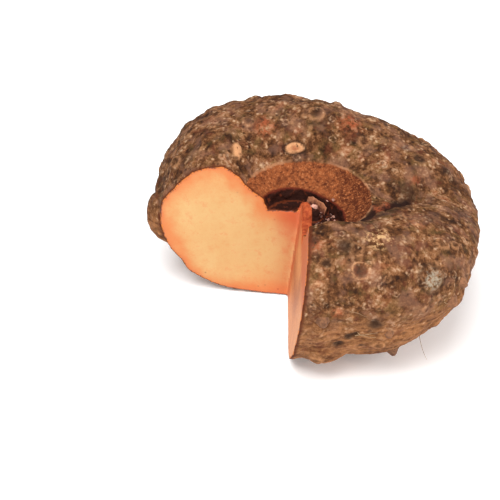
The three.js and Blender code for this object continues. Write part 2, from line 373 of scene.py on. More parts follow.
# A draw whose value isn't used keeps step with the solid's source.
def placeKnobs():
    for azimuth, place, radius, height, look in knobSettings["chosen"]:
        tryKnob(math.radians(azimuth), place, radius, height, look)
    for _ in range(knobSettings["tries"]):
        if len(knobs) >= knobSettings["count"]:
            break
        angle, place = randomSpot(*knobSettings["places"])
        radius = draws.between(*knobSettings["radius"])
        height = draws.between(*knobSettings["height"])
        look = "eye" if draws.next() < knobSettings["eyeShare"] else "plain"
        draws.next()
        tryKnob(angle, place, radius, height, look)


def placeStubs():
    facts = stubSettings
    for azimuth, place in facts["chosen"]:
        angle = math.radians(azimuth)
        stubs.append((bodyPoint(angle, place), skinNormal(angle, place), *facts["chosenSize"]))
    for _ in range(facts["tries"]):
        if len(stubs) >= facts["count"]:
            break
        angle = math.radians(360) * draws.next()
        place = facts["places"][0] + facts["places"][1] * draws.next()
        origin = bodyPoint(angle, place)
        size = facts["leastRadius"] + draws.next()
        if nearCut(origin, facts["cutMargin"]) or not clearOf(origin, facts["knobMargin"]):
            continue
        stubs.append((origin, skinNormal(angle, place), size, 2 * size))
        draws.next()


def placeScars():
    looks = scarSettings["looks"]
    for _ in range(scarSettings["count"]):
        origin = bodyPoint(*randomSpot(*scarSettings["places"]))
        radius = draws.between(*scarSettings["radius"])
        height = draws.between(*scarSettings["height"])
        look = looks[int(len(looks) * draws.next())]
        if clearOf(origin, 0.5 * radius):
            knobs.append({"origin": origin, "radius": radius, "height": height, "look": look})


placeKnobs()
placeStubs()
print("knobs", len(knobs), "stubs", len(stubs))
placeScars()
print("with small scars", len(knobs))


def makeObject(name, mesh):
    data = bpy.data.meshes.new(name)
    mesh.to_mesh(data)
    mesh.free()
    made = bpy.data.objects.new(name, data)
    bpy.context.scene.collection.objects.link(made)
    return made


def applyModifier(thing, kind, **settings):
    modifier = thing.modifiers.new(kind.title(), kind)
    for name, value in settings.items():
        setattr(modifier, name, value)
    shown = thing.evaluated_get(bpy.context.evaluated_depsgraph_get())
    data = bpy.data.meshes.new_from_object(shown)
    thing.modifiers.clear()
    old, thing.data = thing.data, data
    bpy.data.meshes.remove(old)


def spunBody():
    rows = bodySettings["rowsPerStretch"]
    places = [stretch + row / count for stretch, count in enumerate(rows) for row in range(count)]
    places.append(len(rows))
    mesh = bmesh.new()
    line = [mesh.verts.new((1, 0, place)) for place in places]
    edges = [mesh.edges.new(pair) for pair in zip(line, line[1:])]
    bmesh.ops.spin(mesh, geom=line + edges, cent=(0, 0, 0), axis=(0, 0, 1), dvec=(0, 0, 0),
                   angle=2 * math.pi, steps=bodySettings["columns"], use_merge=True, use_duplicate=False)
    flat = np.array([vert.co for vert in mesh.verts])
    points = bodyPoint(np.arctan2(flat[:, 1], flat[:, 0]), flat[:, 2])
    for vert, point in zip(mesh.verts, points):
        vert.co = point
    bmesh.ops.remove_doubles(mesh, verts=mesh.verts, dist=1e-4)
    bmesh.ops.recalc_face_normals(mesh, faces=mesh.faces)
    return makeObject("body", mesh)


def bulge(name, centre, azimuth, sizes):
    mesh = bmesh.new()
    turn = Matrix.Rotation(math.radians(azimuth), 4, "Z")
    form = Matrix.Translation(centre) @ turn @ Matrix.Diagonal((*sizes, 1))
    bmesh.ops.create_icosphere(mesh, subdivisions=4, radius=1, matrix=form)
    return makeObject(name, mesh)


def notchWedge():
    def corners(z):
        corner = cutCorner(z)
        ends = [corner + towards(cut["azimuth"]) * cutSettings["reach"] for cut in (leftCut, rightCut)]
        return [corner] + ends

    low, high = corners(cutSettings["bottom"]), corners(cutSettings["top"])
    mesh = bmesh.new()
    face = mesh.faces.new([mesh.verts.new(point) for point in low])
    grown = bmesh.ops.extrude_face_region(mesh, geom=[face])["geom"]
    for vert in [item for item in grown if isinstance(item, bmesh.types.BMVert)]:
        below = min(range(len(low)), key=lambda index: (low[index] - vert.co).length)
        vert.co = high[below]
    bmesh.ops.recalc_face_normals(mesh, faces=mesh.faces)
    return makeObject("notch", mesh)


def roughCorm():  # the cut body as an even mesh, and a search tree of the whole skin
    corm = spunBody()
    budMiddle = (bud["x"], bud["y"], hollow["floor"] - bud["sunk"])
    helpers = [
        bulge("lobe", lobeCentre, lobe["azimuth"], (lobe["out"], lobe["along"], lobe["up"])),
        bulge("bud", budMiddle, bud["azimuth"], (bud["length"], bud["width"], bud["height"])),
    ]
    for helper in helpers:
        applyModifier(corm, "BOOLEAN", operation="UNION", object=helper, solver="EXACT")
    whole = bmesh.new()
    whole.from_mesh(corm.data)
    skinTree = BVHTree.FromBMesh(whole)
    whole.free()
    wedge = notchWedge()
    applyModifier(corm, "BOOLEAN", operation="DIFFERENCE", object=wedge, solver="EXACT")
    for helper in (*helpers, wedge):
        bpy.data.objects.remove(helper)
    print("quarter cut out", len(corm.data.vertices))
    applyModifier(corm, "REMESH", mode="VOXEL", voxel_size=bodySettings["voxel"], use_smooth_shade=True)
    print("even mesh", len(corm.data.vertices), "points", len(corm.data.polygons), "faces")
    return corm, skinTree


reliefSettings = {
    "wander": 14,
    "pebble": 5.2,
    "pebbleHeight": 0.8,
    "pebbleMiddle": 0.6,
    "pebbleDrift": 1.5,
    "rough": 8,
    "roughHeight": 0.5,
    "roughInHollow": 1.3,
    "grain": 2.8,
    "grainHeight": 0.25,
    "depthFade": 4,
    "smoothBelow": (14, 46),
    "smoothShare": 0.4,
    "ringCalm": 0.65,
    "liftFrom": (1.5, 8),
    "crownFrom": (76, 80),
    "tieMargin": 0.01,
}
# Where the painted shade of the furrow lies: along the crease, and beside the ring.
furrowSettings = {
    "turned": 5,  # degrees on from the crease
    "width": 1.15,  # in half widths of the crease
    "wander": 0.6,
    "ledge": {"from": -66, "to": -16, "radius": 51.5, "halfWidth": 4},  # beside the ring
}
tornSettings = {"y": (14, 11), "x": (1.9, -0.1)}  # where torn flesh begins beside the cut
fleshSettings = {
    "cornerReach": (34, 3),
    "cornerHeights": (40, 88),
    "sliverHeights": (62, 94),
    "leftEdge": (2.2, 0.8),
    "rightEdge": (3.4, 1.4),
    "skinDepth": 0.5,
}


def noiseField(points, size, octaves=1):
    scaled = points / size
    if octaves == 1:
        return np.array([noise.noise(Vector(point)) for point in scaled])
    return np.array([noise.fractal(Vector(point), 1.0, 2.1, octaves) for point in scaled])


def pebbleField(points, size):  # round grains, 1 at the middle of each
    field = [noise.voronoi(Vector(point))[0][0] for point in points / size]
    return clamp(1 - np.array(field) * 1.5) ** 0.8


def nearestSkin(skinTree, point):  # its distance, and the mean normal of the faces that tie for it
    _, _, _, depth = skinTree.find_nearest(point)
    tied = skinTree.find_nearest_range(point, depth + reliefSettings["tieMargin"])
    normal = np.sum([hit[1] for hit in tied], axis=0)
    return depth, normal / np.maximum(1e-9, np.linalg.norm(normal))


class Survey:  # what the points of the even mesh measure
    def __init__(self, points, skinTree):
        self.points = points
        x, y, z = points.T
        nearest = [nearestSkin(skinTree, Vector(point)) for point in points]
        self.depth = np.array([depth for depth, _ in nearest])
        self.outward = np.array([normal for _, normal in nearest])
        self.left = cutDistance(leftCut, points)
        self.right = cutDistance(rightCut, points)
        reach, past = cutSettings["faceReach"], cutSettings["pastCorner"]
        self.onLeft = (np.abs(self.left) < reach) & (self.right < past)
        self.onRight = (np.abs(self.right) < reach) & (self.left > -past)
        self.wander = noiseField(points, reliefSettings["wander"])
        self.rough = noiseField(points, reliefSettings["rough"], 3)
        self.ringAway = np.hypot(x - ring["x"], y - ring["y"])
        inX, inY = x - hollow["x"], y - hollow["y"]
        self.hollowAway = np.hypot(inX, inY) - hollowRadius(np.arctan2(inY, inX))
        self.high = smooth(z, *reliefSettings["crownFrom"])
        ringEdge = self.ringAway + 0.9 * self.wander
        self.inRing = smooth(ringEdge, ring["radius"] + 0.5, ring["radius"] - 1) * self.high
        self.inHollow = smooth(self.hollowAway, 1.2, -0.6) * self.high


def skinRelief(at):  # pebbles, roughness and grain, in mm
    relief = reliefSettings
    drift = np.stack([at.wander, -at.wander, at.wander], 1)
    pebble = pebbleField(at.points + relief["pebbleDrift"] * drift, relief["pebble"])
    grain = noiseField(at.points, relief["grain"], 2)
    bottom, top = relief["smoothBelow"]
    calm = 1 - (1 - relief["smoothShare"]) * smooth(at.points[:, 2], top, bottom)
    calm = calm * (1 - relief["ringCalm"] * at.inRing * (1 - at.inHollow))
    push = relief["pebbleHeight"] * (pebble - relief["pebbleMiddle"]) + relief["roughHeight"] * at.rough
    push = (push + relief["grainHeight"] * grain) * calm
    return push + relief["roughInHollow"] * at.rough * at.inHollow


def furrowShadeField(at):  # painted shade in the crease and under the ring's near edge
    around = np.arctan2(at.points[:, 1], at.points[:, 0])
    away = np.hypot(at.points[:, 0], at.points[:, 1])
    start = crease["start"] + furrowSettings["turned"]
    middle = np.radians(start + crease["turn"] * (away - crease["fromRadius"]))
    width = crease["halfWidth"] * (furrowSettings["width"] + furrowSettings["wander"] * at.wander)
    aside = away * np.sin(around - middle) / width
    run = smooth(away, crease["toRadius"] - 8, crease["toRadius"] - 26)
    run = run * smooth(away, ring["radius"] - 2, ring["radius"] + 3)
    furrow = run * np.exp(-(aside**2)) * (np.cos(around - middle) > 0)
    ledge = furrowSettings["ledge"]
    turned = np.degrees(around)
    beside = smooth(turned, ledge["from"] - 8, ledge["from"] + 8)
    beside = beside * smooth(turned, ledge["to"] + 4, ledge["to"] - 6)
    beside = beside * hump(at.ringAway + at.wander, ledge["radius"], ledge["halfWidth"])
    return np.maximum(furrow, beside) * at.high


def tornField(at):  # torn flesh on the old bud, and beside the cut in the hollow
    x, y, z = at.points.T
    heading = math.radians(bud["azimuth"])
    budX, budY = x - bud["x"], y - bud["y"]
    along = (budX * math.cos(heading) + budY * math.sin(heading)) / bud["length"]
    across = (budY * math.cos(heading) - budX * math.sin(heading)) / bud["width"]
    onBud = smooth(np.hypot(along, across), 1.1, 0.9)
    onBud = onBud * smooth(z, hollow["floor"] + 0.5, hollow["floor"] + 2.5)
    besideCut = smooth(y + at.wander, *tornSettings["y"]) * at.inHollow
    ragged = x + 0.8 * at.wander + 0.6 * at.rough
    return np.maximum(onBud, besideCut) * smooth(ragged, *tornSettings["x"])


def cornerRedAndShadeField(at):  # redder towards the corner of the cut: partly the flesh's own colour, partly painted shade of the notch's inner corner; the narrow face's upper part is painted redder too
    z = at.points[:, 2]
    corners = np.array([cutCorner(level) for level in z])
    fromCorner = np.linalg.norm((at.points - corners)[:, :2], axis=1)
    nearTop = smooth(z, *fleshSettings["cornerHeights"])
    redness = smooth(fromCorner, *fleshSettings["cornerReach"]) * (0.5 + 0.5 * nearTop)
    onSliver = np.maximum(redness, 0.9 * smooth(z, *fleshSettings["sliverHeights"]))
    return np.where(at.onRight, onSliver, redness)


def cutEdgeField(at):  # skin darkened beside the two cuts
    past = cutSettings["pastCorner"]
    besideLeft = 0.6 * smooth(np.abs(at.left), *fleshSettings["leftEdge"]) * (at.right < past)
    besideRight = smooth(np.abs(at.right), *fleshSettings["rightEdge"]) * (at.left > -past)
    return np.maximum(besideLeft, besideRight)


stainSettings = [  # x, y, z, radius, look: stains, blushes, holes, one low swelling, and patches of painted shade (the looks shade and dim)
    (-1.4, -69.8, 115.9, 5.5, "dark"),
    (-1, -73, 115, 8, "red"),
    (20.1, -75.8, 115.2, 8, "dark"),
    (8, -83, 25, 21, "swell"),
    (17.3, -92.3, 42.5, 4.6, "hole"),
    (24.5, -94.9, 51, 4.4, "hole"),
    (29, -96, 52.5, 3.6, "hole"),
    (41.6, -98.2, 63.6, 7.5, "dark"),
    (62, -70, 92, 7, "dim"),
    (49, -29, 108, 6, "shade"),
    (58, -24, 109, 7, "shade"),
    (67, -16, 106, 7, "shade"),
    (14.9, -99, 76, 5.5, "red"),
    (15.4, -99.6, 77, 2.4, "pale"),
    (102, 39, 101.6, 6, "dark"),
    (73, 52, 112, 5, "chalk"),
    (44, -66.5, 116.3, 11, "fuzz"),
    (32.4, 65.3, 129.6, 12, "red"),
    (-33.1, 61.7, 127.6, 10, "red"),
    (88, -30, 108, 13, "dim"),
    (78, 26, 102, 5, "red"),
    (70, 18, 99, 9, "shade"),
    (62, -1, 100.5, 6, "shade"),
    (68, 6, 98.5, 7, "shade"),
    (80, 14, 97, 9, "dim"),
    (88, 9, 96, 9, "dim"),
    (48, -13.5, 104, 5, "red"),
    (54, -9, 103.5, 4, "red"),
]
markShapes = {"button": (1, 1.65, 1.65), "cream": (1.35, 0.66, 0.66)}  # how much each direction counts
markReach = 1.7  # in radii of the mark


def fieldsOf(look, s):  # s is the share of the way from the middle to the edge
    dome = clamp(1 - s**2) ** 0.75
    dimple = hump(s, 0, 0.42)
    collar = hump(s, 0.72, 0.17)
    moat = hump(s, 1.12, 0.16)
    if look == "eye":
        return {"relief": 0.9 * dome - 0.6 * dimple - 0.1 * moat, "pale": 0.3 * collar,
                "dark": np.maximum(0.55 * dimple, 0.35 * moat)}
    if look == "pit":
        return {"relief": 0.6 * dome - 0.9 * dimple, "pale": 0.15 * collar,
                "dark": 0.8 * smooth(s, 0.85, 0.4)}
    # The dark moat round the button is painted shadow under its raised edge; its pale rim and red middle
    # are its own colour.
    if look == "button":
        return {"relief": 1.1 * dome - 0.3 * dimple - 0.25 * moat, "dark": 0.95 * moat,
                "pale": smooth(s, 1.0, 0.8) * (1 - 0.5 * dimple), "red": 0.8 * smooth(s, 0.62, 0.3)}
    if look == "ringEye":
        return {"relief": 0.8 * dome - 0.6 * dimple, "pale": 0.6 * hump(s, 0.85, 0.08),
                "red": 0.5 * smooth(s, 0.76, 0.6), "dark": 0.75 * smooth(s, 0.78, 0.5)}
    if look == "cream":
        return {"relief": dome, "pale": 0.8 * smooth(s, 0.95, 0.5)}
    if look == "chalky":
        return {"relief": dome, "chalk": smooth(s, 1.0, 0.5), "dark": 0.7 * moat}
    if look == "dot":
        return {"relief": dome, "pale": 0.3 * smooth(s, 1.0, 0.3)}
    if look == "plain":
        return {"relief": dome, "dark": 0.3 * moat}
    if look == "swell":
        return {"relief": 6.5 * clamp(1 - s**2) ** 2}
    if look == "hole":
        return {"relief": -1.2 * smooth(s, 1.0, 0.3), "dark": smooth(s, 1.1, 0.5)}
    # The looks shade and dim are painted shade, dim the fainter of the two.
    if look == "shade":
        return {"dark": 0.75 * smooth(s, 1.2, 0.3)}
    if look == "dim":
        return {"dark": 0.4 * smooth(s, 1.2, 0.2)}
    if look == "fuzz":
        return {"fuzz": smooth(s, 1.2, 0.4)}
    return {look: smooth(s, 1.2, 0.2)}  # a plain stain of that colour


def markFields(points):
    fields = {name: np.zeros(len(points)) for name in ("relief", "pale", "dark", "chalk", "red", "fuzz")}
    stains = []
    for x, y, z, radius, look in stainSettings:
        stains.append({"origin": np.array((x, y, z)), "radius": radius, "height": 1, "look": look})
    for index, mark in enumerate(knobs + stains):
        offset = (points - mark["origin"]) * np.array(markShapes.get(mark["look"], (1, 1, 1)))
        distance = np.linalg.norm(offset, axis=1)
        near = np.nonzero(distance < markReach * mark["radius"])[0]
        if len(near) == 0:
            continue
        turns = points[near] @ np.array([0.9, 0.5, 0.7]) * 4 / mark["radius"]
        wobble = 1 + 0.06 * np.sin(turns + index)
        for name, values in fieldsOf(mark["look"], distance[near] / mark["radius"] * wobble).items():
            if name == "relief":
                fields[name][near] += mark["height"] * values
            else:
                fields[name][near] = np.maximum(fields[name][near], values)
    return fields


def raisedPoints(at, lift):  # skin pushed out along its normal, cut faces kept flat but wavy
    total = lift * smooth(at.points[:, 2], *reliefSettings["liftFrom"])
    total = total * hump(at.depth, 0, reliefSettings["depthFade"])
    way = at.outward.copy()
    faces = ((at.onLeft, cutNormal(leftCut)), (at.onRight, cutNormal(rightCut)))
    for flat, normal in faces:
        way[flat] -= (way[flat] @ normal)[:, None] * normal
    moved = at.points + way * total[:, None]
    ripple = cutSettings["waviness"] * noiseField(at.points, cutSettings["waveLength"])
    for flat, normal in faces:
        rippled = ripple[flat] * smooth(at.depth[flat], *cutSettings["waveFade"])
        moved[flat] += rippled[:, None] * normal
    moved[:, 2] = np.maximum(0, moved[:, 2])
    return moved


def setField(data, name, values):
    attribute = data.attributes.new(name, "FLOAT", "POINT")
    attribute.data.foreach_set("value", np.asarray(values, np.float32))


def buildCorm():
    corm, skinTree = roughCorm()
    data = corm.data
    points = np.empty(len(data.vertices) * 3, np.float32)
    data.vertices.foreach_get("co", points)
    at = Survey(points.reshape(-1, 3).astype(float), skinTree)
    push = skinRelief(at)
    marks = {name: values * (1 - at.inRing) for name, values in markFields(at.points).items()}
    moved = raisedPoints(at, push + marks.pop("relief"))
    data.vertices.foreach_set("co", toRow(moved).astype(np.float32).ravel())
    fields = {
        "depth": at.depth,
        "height": push,
        "furrow": furrowShadeField(at),
        "fromRing": at.ringAway - ring["radius"],
        "fromHollow": at.hollowAway,
        "torn": tornField(at),
        "cutEdge": cutEdgeField(at),
        "sliver": at.onRight.astype(float),
        "corner": cornerRedAndShadeField(at),
        **marks,
    }
    for name, values in fields.items():
        setField(data, name, values)
    corm.name = data.name = "cormBody"
    inFlesh = at.depth > fleshSettings["skinDepth"]
    for face in data.polygons:
        face.use_smooth = True
        face.material_index = int(all(inFlesh[index] for index in face.vertices))
    return corm


class Flow:  # a socket whose arithmetic adds shader nodes
    def __init__(self, tree, socket=None):
        self.tree = tree
        self.socket = socket

    def node(self, kind, settings=None, inputs=None, output=0):
        made = self.tree.nodes.new(kind)
        for name, value in (settings or {}).items():
            if name == "stops":
                ramp = made.color_ramp
                while len(ramp.elements) < len(value):
                    ramp.elements.new(1)
                for element, (position, colour) in zip(ramp.elements, value):
                    element.position = position
                    element.color = colour
            else:
                setattr(made, name, value)
        for name, value in (inputs or {}).items():
            if isinstance(value, Flow):
                self.tree.links.new(value.socket, made.inputs[name])
            else:
                made.inputs[name].default_value = value
        return Flow(self.tree, made.outputs[output])

    def math(self, operation, *values):
        return self.node("ShaderNodeMath", {"operation": operation}, dict(enumerate(values)))

    def __add__(self, other):
        return self.math("ADD", self, other)

    def __sub__(self, other):
        return self.math("SUBTRACT", self, other)

    def __rsub__(self, other):
        return self.math("SUBTRACT", other, self)

    def __mul__(self, other):
        return self.math("MULTIPLY", self, other)

    __radd__ = __add__
    __rmul__ = __mul__

    def vector(self, operation, inputs):
        return self.node("ShaderNodeVectorMath", {"operation": operation}, inputs)

    def scaled(self, factor):
        return self.vector("SCALE", {0: self, "Scale": factor})

    def axis(self, index):  # 0, 1 or 2 of a place
        return self.node("ShaderNodeSeparateXYZ", None, {0: self}, index)

    def red(self):  # one number from 0 to 1 of a random colour
        return self.node("ShaderNodeSeparateColor", None, {0: self})

    def held(self):
        return self.node("ShaderNodeClamp", None, {"Value": self})

    def smooth(self, low, high):
        settings = {"interpolation_type": "SMOOTHSTEP"}
        if low > high:
            return 1 - self.smooth(high, low)
        return self.node("ShaderNodeMapRange", settings, {"Value": self, "From Min": low, "From Max": high})

    def between(self, first, second):  # a colour, self from 0 to 1
        return self.node("ShaderNodeMix", {"data_type": "RGBA"}, {0: self, 6: first, 7: second}, 2)

    def speckle(self, size, detail=2.0, roughness=0.5, distortion=0.0):
        inputs = {"Vector": self, "Scale": 1 / size, "Detail": detail,
                  "Roughness": roughness, "Distortion": distortion}
        return self.node("ShaderNodeTexNoise", None, inputs)

    def smear(self, size, reach):  # a wandering offset of up to half of reach each way
        noises = self.node("ShaderNodeTexNoise", None, {"Vector": self, "Scale": 1 / size}, 1)
        return self.vector("SUBTRACT", {0: noises, 1: (0.5, 0.5, 0.5)}).scaled(reach)

    def cells(self, size, output=0):  # output 0 is the distance to the middle, 1 a colour for each cell
        return self.node("ShaderNodeTexVoronoi", None, {"Vector": self, "Scale": 1 / size}, output)

    def field(self, name):
        return self.node("ShaderNodeAttribute", {"attribute_name": name}, None, 2)


def tint(red, green, blue):
    def linear(level):
        level = level / 255
        return level / 12.92 if level <= 0.04045 else ((level + 0.055) / 1.055) ** 2.4

    return (linear(red), linear(green), linear(blue), 1.0)


def startMaterial(name):
    material = bpy.data.materials.new(name)
    material.use_nodes = True
    tree = material.node_tree
    shader = tree.nodes["Principled BSDF"]
    place = Flow(tree).node("ShaderNodeTexCoord", None, None, 3).scaled(1000)  # in mm
    return material, shader, place


def finishMaterial(shader, colour, roughness, bump, strength, distance):
    tree = shader.id_data
    tree.links.new(colour.socket, shader.inputs["Base Color"])
    if isinstance(roughness, Flow):
        tree.links.new(roughness.socket, shader.inputs["Roughness"])
    else:
        shader.inputs["Roughness"].default_value = roughness
    inputs = {"Height": bump, "Strength": strength, "Distance": distance}
    tree.links.new(bump.node("ShaderNodeBump", None, inputs).socket, shader.inputs["Normal"])


skinLooks = {
    "dark": tint(42, 22, 11),
    "brown": tint(84, 50, 26),
    "tan": tint(128, 86, 55),
    "light": tint(182, 148, 117),
    "olive": tint(106, 83, 46),
    "lilac": tint(128, 90, 72),
    "maroon": tint(84, 38, 24),
    "red": tint(148, 74, 44),
    "lowTan": tint(178, 121, 76),
    "lowBrown": tint(98, 57, 31),
    "pale": tint(196, 142, 100),
    "fuzz": tint(194, 154, 108),
    "chalk": tint(148, 138, 120),
    "scar": tint(34, 22, 16),
    "ring": tint(136, 73, 38),
    "ringDark": tint(76, 33, 15),
    "ringLight": tint(164, 99, 59),
    "rim": tint(176, 122, 86),
    # The hollow's floor colour: partly its own dark brown, partly painted shade of the recess.
    "hollow": tint(38, 13, 6),
    "hollowBits": tint(104, 46, 24),
    # Painted shade on the hollow's wall, just inside the ring.
    "hollowEdge": tint(84, 26, 14),
    "torn": tint(176, 84, 46),
    "tornDark": tint(138, 54, 30),
    "cutLine": tint(84, 36, 16),
    # The colour of the painted shade in the crease and under the ring's near edge.
    "furrow": tint(40, 19, 12),
    "toneStops": (0.0, 0.34, 0.62, 1.0),  # of dark, brown, tan and light
    "toneLift": 0.48,
    "granule": 3.6,
    "scarCells": 9,
    "lowBand": (84, 52),  # heights where the smoother skin begins and is full
    "crown": (72, 78),
    "sheen": 0.12,
}
fleshLooks = {
    "centre": tint(206, 158, 97),
    "pallor": tint(212, 180, 121),
    "middle": tint(208, 147, 87),
    "edge": tint(208, 122, 62),
    "deep": tint(202, 90, 46),
    # The corner's red-orange: partly the flesh's own colour, partly painted shade of the notch's inner
    # corner.
    "corner": tint(196, 84, 34),
    # The next three colours are the narrow face's flesh in painted shade.
    "sliver": tint(208, 136, 80),
    "sliverDark": tint(156, 84, 42),
    "sliverCorner": tint(178, 80, 34),
    "skinLine": tint(96, 46, 24),
    "speck": tint(132, 62, 26),
}


class Bark:  # the patterns that the layers of the skin share, from broad to fine
    def __init__(self, place):
        self.place = place
        self.up = place.axis(2)
        self.patch = place.speckle(17, 3, 0.55, 0.4)
        self.blotch = place.speckle(7, 3, 0.6, 0.5)
        self.fleck = place.speckle(3, 3, 0.65)
        self.grain = place.speckle(1.2, 2, 0.6)
        self.granule = place.cells(skinLooks["granule"])
        self.granuleTone = place.cells(skinLooks["granule"], 1).red()
        self.crown = self.up.smooth(*skinLooks["crown"])
        self.tone = self.skinTone()

    def skinTone(self):
        tone = (self.blotch - 0.5) * 1.2 + (self.fleck - 0.5) * 0.8
        tone = tone + (self.patch - 0.5) * 1.2 + (self.grain - 0.5) * 0.7
        tone = tone + (self.granuleTone - 0.4) * 0.45 * self.granule.smooth(0.6, 0.2)
        # Lighter on the rises of the relief and darker in its dips: partly soil and wear, partly painted
        # shade in the dips.
        return (tone + self.place.field("height") * 0.28 + skinLooks["toneLift"]).held()


def barkColour(bark):
    look = skinLooks
    shades = [look[name] for name in ("dark", "brown", "tan", "light")]
    stops = list(zip(look["toneStops"], shades))
    colour = bark.tone.node("ShaderNodeValToRGB", {"stops": stops}, {"Fac": bark.tone})
    moss, bloom = bark.place.speckle(12, 2, 0.6, 0.3), bark.place.speckle(15, 2, 0.6)
    colour = (moss.smooth(0.5, 0.68) * 0.32).between(colour, look["olive"])
    colour = (bloom.smooth(0.48, 0.64) * 0.42).between(colour, look["lilac"])
    colour = (bark.patch.smooth(0.58, 0.7) * 0.22).between(colour, look["red"])
    spark = bark.granule.smooth(0.34, 0.12) * bark.granuleTone.smooth(0.7, 0.85)
    colour = (spark * 0.5).between(colour, look["light"])
    pitted = bark.granule.smooth(0.34, 0.1) * bark.granuleTone.smooth(0.24, 0.12)
    return (pitted * 0.75).between(colour, look["dark"])


def withRootScars(colour, bark):  # wobbly rings with a dark middle, in some of the cells
    look = skinLooks
    wobbly = bark.place.vector("ADD", {0: bark.place, 1: bark.place.smear(3.5, 4)})
    scar = wobbly.cells(look["scarCells"])
    chosen = wobbly.cells(look["scarCells"], 1).red().smooth(0.5, 0.75)
    collar = scar.smooth(0.14, 0.22) * scar.smooth(0.36, 0.26) * chosen
    colour = (collar * bark.fleck.smooth(0.42, 0.6) * 0.42).between(colour, look["light"])
    colour = (scar.smooth(0.19, 0.1) * chosen * 0.5).between(colour, look["dark"])
    moat = scar.smooth(0.3, 0.36) * scar.smooth(0.5, 0.38)
    return (moat * chosen * 0.35).between(colour, look["dark"])


def withLowSkin(colour, bark):  # paler, streaky skin low down, then rusty patches
    look = skinLooks
    streaks = bark.place.vector("MULTIPLY", {0: bark.place, 1: (0.35, 0.35, 1.6)}).speckle(5, 3, 0.6)
    low = (bark.up + (bark.blotch - 0.5) * 50 + (bark.patch - 0.5) * 40).smooth(*look["lowBand"])
    lowTone = (streaks.smooth(0.3, 0.7) * 0.7 + bark.tone * 0.9 - 0.25).held()
    colour = (low * 0.7).between(colour, lowTone.between(look["lowBrown"], look["lowTan"]))
    rust = bark.place.speckle(9.5, 3, 0.6)
    return (rust.smooth(0.56, 0.68) * 0.5).between(colour, look["maroon"])


def withMarks(colour, bark):  # scars, stains, and the painted shade in the furrow
    look, fleck, field = skinLooks, bark.fleck, bark.place.field
    paleness = field("pale") * (fleck.smooth(0.34, 0.5) + 0.2) * (0.7 + bark.grain * 0.5)
    colour = paleness.held().between(colour, look["pale"])
    colour = (field("fuzz") * fleck.smooth(0.48, 0.6) * 0.9).between(colour, look["fuzz"])
    colour = (field("chalk") * fleck.smooth(0.4, 0.6) * 0.75).between(colour, look["chalk"])
    # Painted shade along the crease and under the ring's near edge.
    colour = (field("furrow") * 1.3 * fleck.smooth(0.2, 0.4)).held().between(colour, look["furrow"])
    return (field("red") * fleck.smooth(0.35, 0.6) * 0.8).between(colour, look["red"])


def withRing(colour, bark):  # the stippled scar round the crown and its pale rim
    look, place = skinLooks, bark.place
    stipple = place.cells(2.1).smooth(0.42, 0.18) * place.speckle(5, 1).smooth(0.32, 0.55)
    ringTone = stipple * 0.45 + (bark.fleck - 0.5) * 2.2 + (bark.blotch - 0.5) * 1.6
    ringTone = ringTone + (bark.grain - 0.5) * 1.6
    ringTone = (ringTone + place.axis(0).smooth(0, 42) * 0.65 + 0.3).held()
    ringColour = ringTone.between(look["ring"], look["ringDark"])
    glints = bark.fleck.smooth(0.6, 0.44) * bark.grain.smooth(0.5, 0.64)
    ringColour = glints.between(ringColour, look["ringLight"])
    fromRing = place.field("fromRing") + (bark.blotch - 0.5) * 2.4 + (bark.fleck - 0.5) * 1.2
    colour = (fromRing.smooth(0.4, -0.6) * bark.crown).between(colour, ringColour)
    rimLine = fromRing.smooth(-0.8, 0.1) * fromRing.smooth(1.6, 0.6)
    return (rimLine * bark.crown * bark.patch.smooth(0.35, 0.55) * 0.6).between(colour, look["rim"])


def withHollow(colour, bark):
    look, place = skinLooks, bark.place
    # The floor: its own dark brown with reddish bits, made darker as painted shade of the recess.
    bits = place.speckle(3.4, 3, 0.7).smooth(0.52, 0.72) * 0.7
    floor = bits.between(look["hollow"], look["hollowBits"])
    fromHollow = place.field("fromHollow") + (bark.fleck - 0.5) * 1.6 + (bark.blotch - 0.5) * 1.6
    # A line of painted shade on the hollow's wall, just inside the ring.
    colour = (fromHollow.smooth(1.7, 0.5) * bark.crown * 0.9).between(colour, look["hollowEdge"])
    colour = (fromHollow.smooth(0.6, -0.4) * bark.crown).between(colour, floor)
    # The dark field: the scars' and holes' own dark, the painted shadow round the button, and the painted
    # shade of the shade and dim patches.
    return (place.field("dark") * 0.82).between(colour, look["scar"])


def withCutEdge(colour, bark):  # the line beside the cut, a sliver of flesh and the torn bud
    look, place, fleck = skinLooks, bark.place, bark.fleck
    colour = (place.field("cutEdge") * fleck.smooth(0.15, 0.4) * 0.85).between(colour, look["cutLine"])
    depth = place.field("depth") + (fleck - 0.5) * 0.3
    colour = depth.smooth(0.15, 0.4).between(colour, look["cutLine"])
    colour = depth.smooth(0.5, 1.1).between(colour, fleshLooks["edge"])
    torn = (place.field("torn") * 1.4 + fleck * 0.6 - 0.45).smooth(0.3, 0.6)
    tornColour = fleck.smooth(0.35, 0.65).between(look["tornDark"], look["torn"])
    return torn.between(colour, tornColour)


def skinMaterial():
    material, shader, place = startMaterial("yamSkin")
    bark = Bark(place)
    colour = barkColour(bark)
    for layer in (withRootScars, withLowSkin, withMarks, withRing, withHollow, withCutEdge):
        colour = layer(colour, bark)
    bump = bark.granule.smooth(0.7, 0.1) * 0.7 + bark.grain * 0.4 + bark.fleck * 0.6 + bark.blotch * 0.4
    finishMaterial(shader, colour, 0.9 - 0.15 * bark.fleck, bump, 0.7, 0.001)
    shader.inputs["Specular IOR Level"].default_value = skinLooks["sheen"]
    return material


